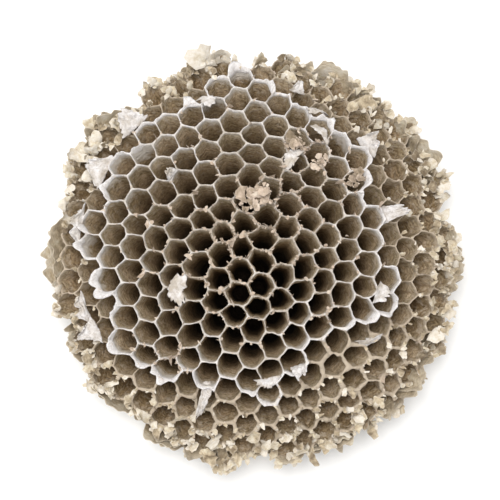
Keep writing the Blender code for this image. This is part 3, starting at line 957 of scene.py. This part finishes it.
def envelope_material(name, pale, middle, dark):
    """Envelope paper: cream, tan and grey-brown bands of fibre, paler on its torn edges."""
    build = NodeBuilder(name)
    tone, edge = build.attribute("tone"), build.attribute("edge")
    fibre = build.noise(build.place((700, 700, 1500)), 1.0, 4.0, 0.6, 0.5)
    cloud = build.noise(build.place((1, 1, 1)), 300.0, 4.0, 0.6, 0.5)
    shade = build.math("ADD", tone, build.span(cloud, 0.25, 0.75, -0.35, 0.35))
    colour = build.ramp(shade, ((0.05, dark), (0.45, middle), (0.85, pale)))
    colour = build.mix(0.55, colour, build.ramp(fibre, (
        (0.3, (0.38, 0.36, 0.33)), (0.5, (0.6, 0.58, 0.56)), (0.7, (0.85, 0.84, 0.82)),
    )), "OVERLAY")
    colour = build.mix(build.span(edge, 0.8, 1.0, 0.0, 0.35), colour, pale)
    return build.finish(colour, build.math("ADD", fibre, cloud), 0.6, 0.93)


def floor_material(colours):
    """Plain matt floor with a very faint mottling."""
    build = NodeBuilder("plain floor")
    cloud = build.noise(build.place((1, 1, 1)), 40.0, 2.0, 0.5)
    colour = build.mix(build.span(cloud, 0.3, 0.7), colours.floor_colour, tuple(
        0.985 * value for value in colours.floor_colour))
    return build.finish(colour, cloud, 0.02, 0.9)


# --- settings --------------------------------------------------------------------------------


def length_setting(name, description, default):
    """A length in metres for the panel."""
    return FloatProperty(name=name, description=description, default=default, unit="LENGTH")


def colour_setting(name, description, default):
    """A colour for the panel, its three parts from 0 to 1."""
    return FloatVectorProperty(
        name=name, description=description, default=default, subtype="COLOR", min=0, max=1)


class NestCombSettings(bpy.types.PropertyGroup):
    wall: length_setting("Wall", "Thickness of the cell walls at their rims", 0.38 * MM)
    per_side: IntProperty(
        name="Samples per side", description="Rim samples along one side of a cell", default=6, min=2)
    rim_colour: colour_setting("Rim", "Colour of the bare rims", (0.54, 0.45, 0.345))
    silk_rim_colour: colour_setting("Silky rim", "Colour of the silk-rimmed rims", (0.78, 0.73, 0.68))
    shade_colour: colour_setting("Shade", "Tint of the darkest cells", (0.60, 0.53, 0.44))
    grit_colour: colour_setting("Grit", "Tint of the coarse fibres", (0.58, 0.52, 0.46))
    stain_colour: colour_setting("Stain", "Tint of the stained places", (0.66, 0.64, 0.56))
    film_colour: colour_setting("Film", "Colour of silk film on the inner walls", (0.68, 0.63, 0.57))
    # Throat to Floor: the walls' colours by depth, darkening downwards; the deep and floor colours are
    # partly the floors' real stain and partly painted shade of the deep cells.
    throat_colour: colour_setting("Throat", "Colour just inside a cell", (0.80, 0.69, 0.53))
    wall_colour: colour_setting("Wall", "Colour a third of the way down", (0.72, 0.57, 0.39))
    deep_stain_and_shade_colour: colour_setting("Deep", "Colour low in a cell", (0.40, 0.28, 0.165))
    floor_colour: colour_setting("Floor", "Colour of the cell floors", (0.06, 0.042, 0.027))


class NestSilkSettings(bpy.types.PropertyGroup):
    thickness: length_setting("Thickness", "Thickness of a silk flap", 0.30 * MM)
    silk_colour: colour_setting("Silk", "Colour of thick silk", (0.88, 0.845, 0.83))
    thin_colour: colour_setting("Thin silk", "Colour of thin silk", (0.60, 0.53, 0.45))


class NestPaperSettings(bpy.types.PropertyGroup):
    scrap_size: length_setting("Scrap size", "Usual length of a scrap", 5.6 * MM)
    pale_colour: colour_setting("Pale", "Palest envelope paper", (0.72, 0.655, 0.56))
    crumb_colour: colour_setting("Crumbs", "Palest chewed paper", (0.57, 0.475, 0.395))
    chewed_colour: colour_setting("Chewed", "Middle tone of the chewed paper", (0.43, 0.345, 0.27))
    middle_colour: colour_setting("Middle", "Middle tone of the envelope paper", (0.50, 0.42, 0.30))
    dark_colour: colour_setting("Dark", "Darkest envelope paper", (0.20, 0.155, 0.105))


class NestStageSettings(bpy.types.PropertyGroup):
    distance: length_setting("Distance", "From the camera to the comb", 380 * MM)
    elevation: FloatProperty(
        name="Elevation", description="Camera above the horizon", default=math.radians(82),
        subtype="ANGLE")
    floor_colour: colour_setting("Floor", "Colour of the floor", (0.92, 0.92, 0.92))


# --- operators -------------------------------------------------------------------------------


def shared_lattice(context):
    """The cells and their rims, worked out anew for each operator from the same settings."""
    settings = context.scene.nest_comb
    lattice = Lattice(settings.per_side)
    return lattice, rim_points(lattice), settings.wall


def hand_in(piece, slot, *nodes):
    """Ride on the one body and stand for the nodes, which are hidden; the slot is not used."""
    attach(piece, "root")
    if nodes:
        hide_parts(*nodes)


class NEST_OT_comb(bpy.types.Operator):
    """Add the comb of six-sided paper cells"""

    bl_idname = "nest.add_comb"
    bl_label = "Comb"

    def execute(self, context):
        lattice, rims, wall = shared_lattice(context)
        points, faces, attributes = comb_mesh(lattice, rims, wall)
        material = comb_material(context.scene.nest_comb)
        comb = add_mesh("paper_comb", points, faces, material, attributes)
        hand_in(comb, "comb_paper", "comb")
        return {"FINISHED"}


class NEST_OT_silk_rims(bpy.types.Operator):
    """Add the silk linings round the mouths of the middle cells"""

    bl_idname = "nest.add_silk_rims"
    bl_label = "Silk rims"

    def execute(self, context):
        lattice, rims, wall = shared_lattice(context)
        points, faces, attributes = lining_mesh(lattice, rims, wall)
        material = silk_material(context.scene.nest_silk)
        lining = add_mesh("silk_rims", points, faces, material, attributes)
        hand_in(lining, "spun_silk")
        return {"FINISHED"}


def nodes_named(start):
    """The frame's nodes whose names start so, in order of name."""
    return sorted(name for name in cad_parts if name.startswith(start))


def torn_patch(name, rims, size, rng):
    """What stands in a patch's place: layers of paper over its span, low on the flared side and up
    to its crest, with small lips of paper and larger scraps on the rims behind them."""
    low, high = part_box(name)
    middle = math.degrees(math.atan2((low[1] + high[1]) / 2, (low[0] + high[0]) / 2))
    start, end, top = middle - PATCH_HALF_SPAN, middle + PATCH_HALF_SPAN, high[2]
    shapes = []
    for layer in range(ENVELOPE_LAYERS):
        foot = (BACK_RADIUS + (1.4 + 0.5 * layer) * MM, 1.0 * MM)
        crest = (COMB_RADIUS + 0.4 * layer * MM, rng.uniform(top - 9 * MM, top))
        shapes.append(torn_band(start - 2, end + 2, foot, crest, rng))
    lips, scraps = SCRAP_COUNTS[name]
    shapes.append(rim_scraps(rims, start, end, lips, 0.5 * size, LIPS_FROM, rng))
    shapes.append(rim_scraps(rims, start, end, scraps, size, SCRAPS_FROM, rng))
    return joined(shapes)


class NEST_OT_envelope(bpy.types.Operator):
    """Add the torn rest of the envelope round the margin, patch by patch"""

    bl_idname = "nest.add_envelope"
    bl_label = "Torn envelope"

    def execute(self, context):
        _, rims, _ = shared_lattice(context)
        settings = context.scene.nest_paper
        material = envelope_material(
            "envelope paper", settings.pale_colour, settings.middle_colour, settings.dark_colour)
        for number, name in enumerate(nodes_named("envelope_")):
            rng = np.random.default_rng(ENVELOPE_SEED + number)
            points, faces, attributes = torn_patch(name, rims, settings.scrap_size, rng)
            piece = add_mesh("torn_" + name, points, faces, material, attributes, CREASE)
            hand_in(piece, "envelope_paper", name)
        return {"FINISHED"}


def add_silk_pieces(context, kind, shape, seed):
    """Make a silk shape in the place of every solid of a kind."""
    settings = context.scene.nest_silk
    material = silk_material(settings)
    for number, name in enumerate(nodes_named(kind)):
        rng = np.random.default_rng(seed + number)
        points, faces, attributes = shape(SolidPlace(name), settings.thickness, rng)
        hand_in(add_mesh("torn_" + name, points, faces, material, attributes), "spun_silk", name)


class NEST_OT_silk_flaps(bpy.types.Operator):
    """Add the torn silk flaps that stand along the silk's edge"""

    bl_idname = "nest.add_silk_flaps"
    bl_label = "Silk flaps"

    def execute(self, context):
        add_silk_pieces(context, "silk_flap", silk_flap, FLAP_SEED)
        return {"FINISHED"}


class NEST_OT_silk_caps(bpy.types.Operator):
    """Add the torn silk caps left on some cells"""

    bl_idname = "nest.add_silk_caps"
    bl_label = "Silk caps"

    def execute(self, context):
        add_silk_pieces(context, "silk_cap", silk_cap, CAP_SEED)
        return {"FINISHED"}


class NEST_OT_paper_scraps(bpy.types.Operator):
    """Add the clumps of chewed paper that lie on the rims, and the crumbs"""

    bl_idname = "nest.add_paper_scraps"
    bl_label = "Paper scraps"

    def execute(self, context):
        settings = context.scene.nest_paper
        material = envelope_material(
            "chewed paper", settings.crumb_colour, settings.chewed_colour, settings.dark_colour)
        for number, name in enumerate(nodes_named("paper_scrap")):
            rng = np.random.default_rng(CLUMP_SEED + number)
            points, faces, attributes = scrap_clump(SolidPlace(name), CLUMP_SHEETS, rng)
            piece = add_mesh("torn_" + name, points, faces, material, attributes, CREASE)
            hand_in(piece, "chewed_paper", name)
        _, rims, _ = shared_lattice(context)
        points, faces, attributes = rim_crumbs(rims, CRUMBS, np.random.default_rng(CRUMB_SEED))
        crumbs = add_mesh("rim_crumbs", points, faces, material, attributes, CREASE)
        hand_in(crumbs, "chewed_paper")
        return {"FINISHED"}


class NEST_OT_stage(bpy.types.Operator):
    """Add the floor, the lights and the camera"""

    bl_idname = "nest.add_stage"
    bl_label = "Stage"

    def execute(self, context):
        settings = context.scene.nest_stage
        add_floor(settings)
        add_lights()
        add_camera(settings)
        return {"FINISHED"}


def add_floor(settings):
    """A round floor well past the view, at the height the comb rests on."""
    corners, radius = 64, 3.0
    ring = np.arange(corners)
    turn = ring * 2 * math.pi / corners
    points = np.append(flat3(np.stack([np.cos(turn), np.sin(turn)], -1) * radius), [[0, 0, 0]], axis=0)
    faces = np.stack([ring, np.roll(ring, -1), np.full(corners, corners)], axis=-1)
    floor = add_mesh("floor", points, [faces], floor_material(settings))


def add_light(name, place, size, watts, colour):
    """A round soft light that faces the nest."""
    light = bpy.data.lights.new(name, "AREA")
    light.shape, light.size, light.energy, light.color = "DISK", size, watts, colour
    lamp = bpy.data.objects.new(name, light)
    lamp.location = place
    lamp.rotation_euler = (-Vector(place)).to_track_quat("-Z", "Y").to_euler()
    bpy.context.scene.collection.objects.link(lamp)


def add_lights():
    """One large soft light overhead, a weaker one from the left, and a pale sky."""
    add_light("overhead", (-0.06, 0.10, 0.9), 0.6, 7.0, (1.0, 0.985, 0.96))
    add_light("side", (-0.9, -0.2, 0.5), 0.6, 1.5, (0.95, 0.97, 1.0))
    world = bpy.data.worlds.new("pale sky")
    world.use_nodes = True
    world.node_tree.nodes["Background"].inputs["Color"].default_value = (0.96, 0.98, 1.0, 1)
    world.node_tree.nodes["Background"].inputs["Strength"].default_value = 0.62
    bpy.context.scene.world = world


def add_camera(settings):
    """The camera looks down on the mouths from slightly below the comb's middle."""
    camera = bpy.data.cameras.new("camera")
    camera.sensor_width = 36.0
    camera.lens = 71.4
    holder = bpy.data.objects.new("camera", camera)
    target = Vector((-1.1 * MM, 0, 30 * MM))
    back = Vector((0, -math.cos(settings.elevation), math.sin(settings.elevation)))
    holder.location = target + back * settings.distance
    holder.rotation_euler = (-back).to_track_quat("-Z", "Y").to_euler()
    bpy.context.scene.collection.objects.link(holder)
    bpy.context.scene.camera = holder
    bpy.context.scene.view_settings.view_transform = "Standard"


class NEST_PT_panel(bpy.types.Panel):
    """Lists the pieces of the nest and the stage"""

    bl_idname = "NEST_PT_panel"
    bl_label = "Hornet Nest"
    bl_space_type = "VIEW_3D"
    bl_region_type = "UI"
    bl_category = "Hornet Nest"

    def draw(self, context):
        for operator in OPERATORS:
            self.layout.operator(operator.bl_idname)
        for name in SETTINGS:
            settings = getattr(context.scene, name)
            for key in settings.bl_rna.properties.keys():
                if key not in {"rna_type", "name"}:
                    self.layout.prop(settings, key)


OPERATORS = (
    NEST_OT_comb, NEST_OT_silk_rims, NEST_OT_silk_flaps, NEST_OT_silk_caps, NEST_OT_envelope,
    NEST_OT_paper_scraps, NEST_OT_stage,
)
SETTINGS = {
    "nest_comb": NestCombSettings,
    "nest_silk": NestSilkSettings,
    "nest_paper": NestPaperSettings,
    "nest_stage": NestStageSettings,
}


def register():
    for group in SETTINGS.values():
        bpy.utils.register_class(group)
    for name, group in SETTINGS.items():
        setattr(bpy.types.Scene, name, PointerProperty(type=group))
    for operator in OPERATORS:
        bpy.utils.register_class(operator)
    bpy.utils.register_class(NEST_PT_panel)


def unregister():
    bpy.utils.unregister_class(NEST_PT_panel)
    for operator in reversed(OPERATORS):
        bpy.utils.unregister_class(operator)
    for name in SETTINGS:
        delattr(bpy.types.Scene, name)
    for group in reversed(list(SETTINGS.values())):
        bpy.utils.unregister_class(group)


def main():
    register()
    bpy.ops.nest.add_comb()
    bpy.ops.nest.add_silk_rims()
    bpy.ops.nest.add_silk_flaps()
    bpy.ops.nest.add_silk_caps()
    bpy.ops.nest.add_envelope()
    bpy.ops.nest.add_paper_scraps()
    bpy.ops.nest.add_stage()


if __name__ == "__main__":
    main()
